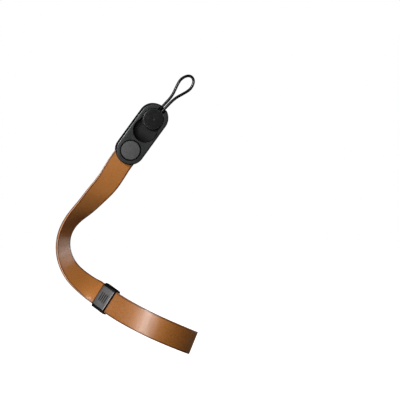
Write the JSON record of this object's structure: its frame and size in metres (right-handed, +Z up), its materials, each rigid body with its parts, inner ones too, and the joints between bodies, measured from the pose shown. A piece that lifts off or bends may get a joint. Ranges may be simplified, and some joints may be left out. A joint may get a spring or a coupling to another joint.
{
  "type": "camera wrist strap",
  "caption": "Leather camera wrist strap: a band that loops round the wrist through a metal slider, joined to an oval quick-release housing that holds a corded anchor disc.",
  "frame": {"origin": "middle of the wrist loop, where the wrist passes through it", "axes": "+Z up from the wrist loop to the housing, +X to the loop's outer side, +Y away from the side that shows the slider's plate and the housing's discs"},
  "size_m": [0.1179, 0.0611, 0.227],
  "materials": {
    "tan_leather": "smooth tan leather with a fine grain and dark burnished edges",
    "black_slider": "satin black painted metal",
    "gunmetal": "satin dark grey metal plate",
    "dark_steel": "dark steel rivet",
    "black_nylon": "black glass-filled nylon with a fine texture",
    "grey_cap": "matte grey disc",
    "black_anchor": "black moulded plastic with a soft shine",
    "black_cord": "thin black braided cord, slightly shiny"
  },
  "bodies": {
    "root": {"strap": "tan_leather", "slider_frame": "black_slider", "slider_plate": "gunmetal", "slider_rivet": "dark_steel", "housing": "black_nylon", "magnet_cap": "grey_cap", "anchor_disc": "black_anchor", "anchor_cord": "black_cord"}
  },
  "joints": []
}
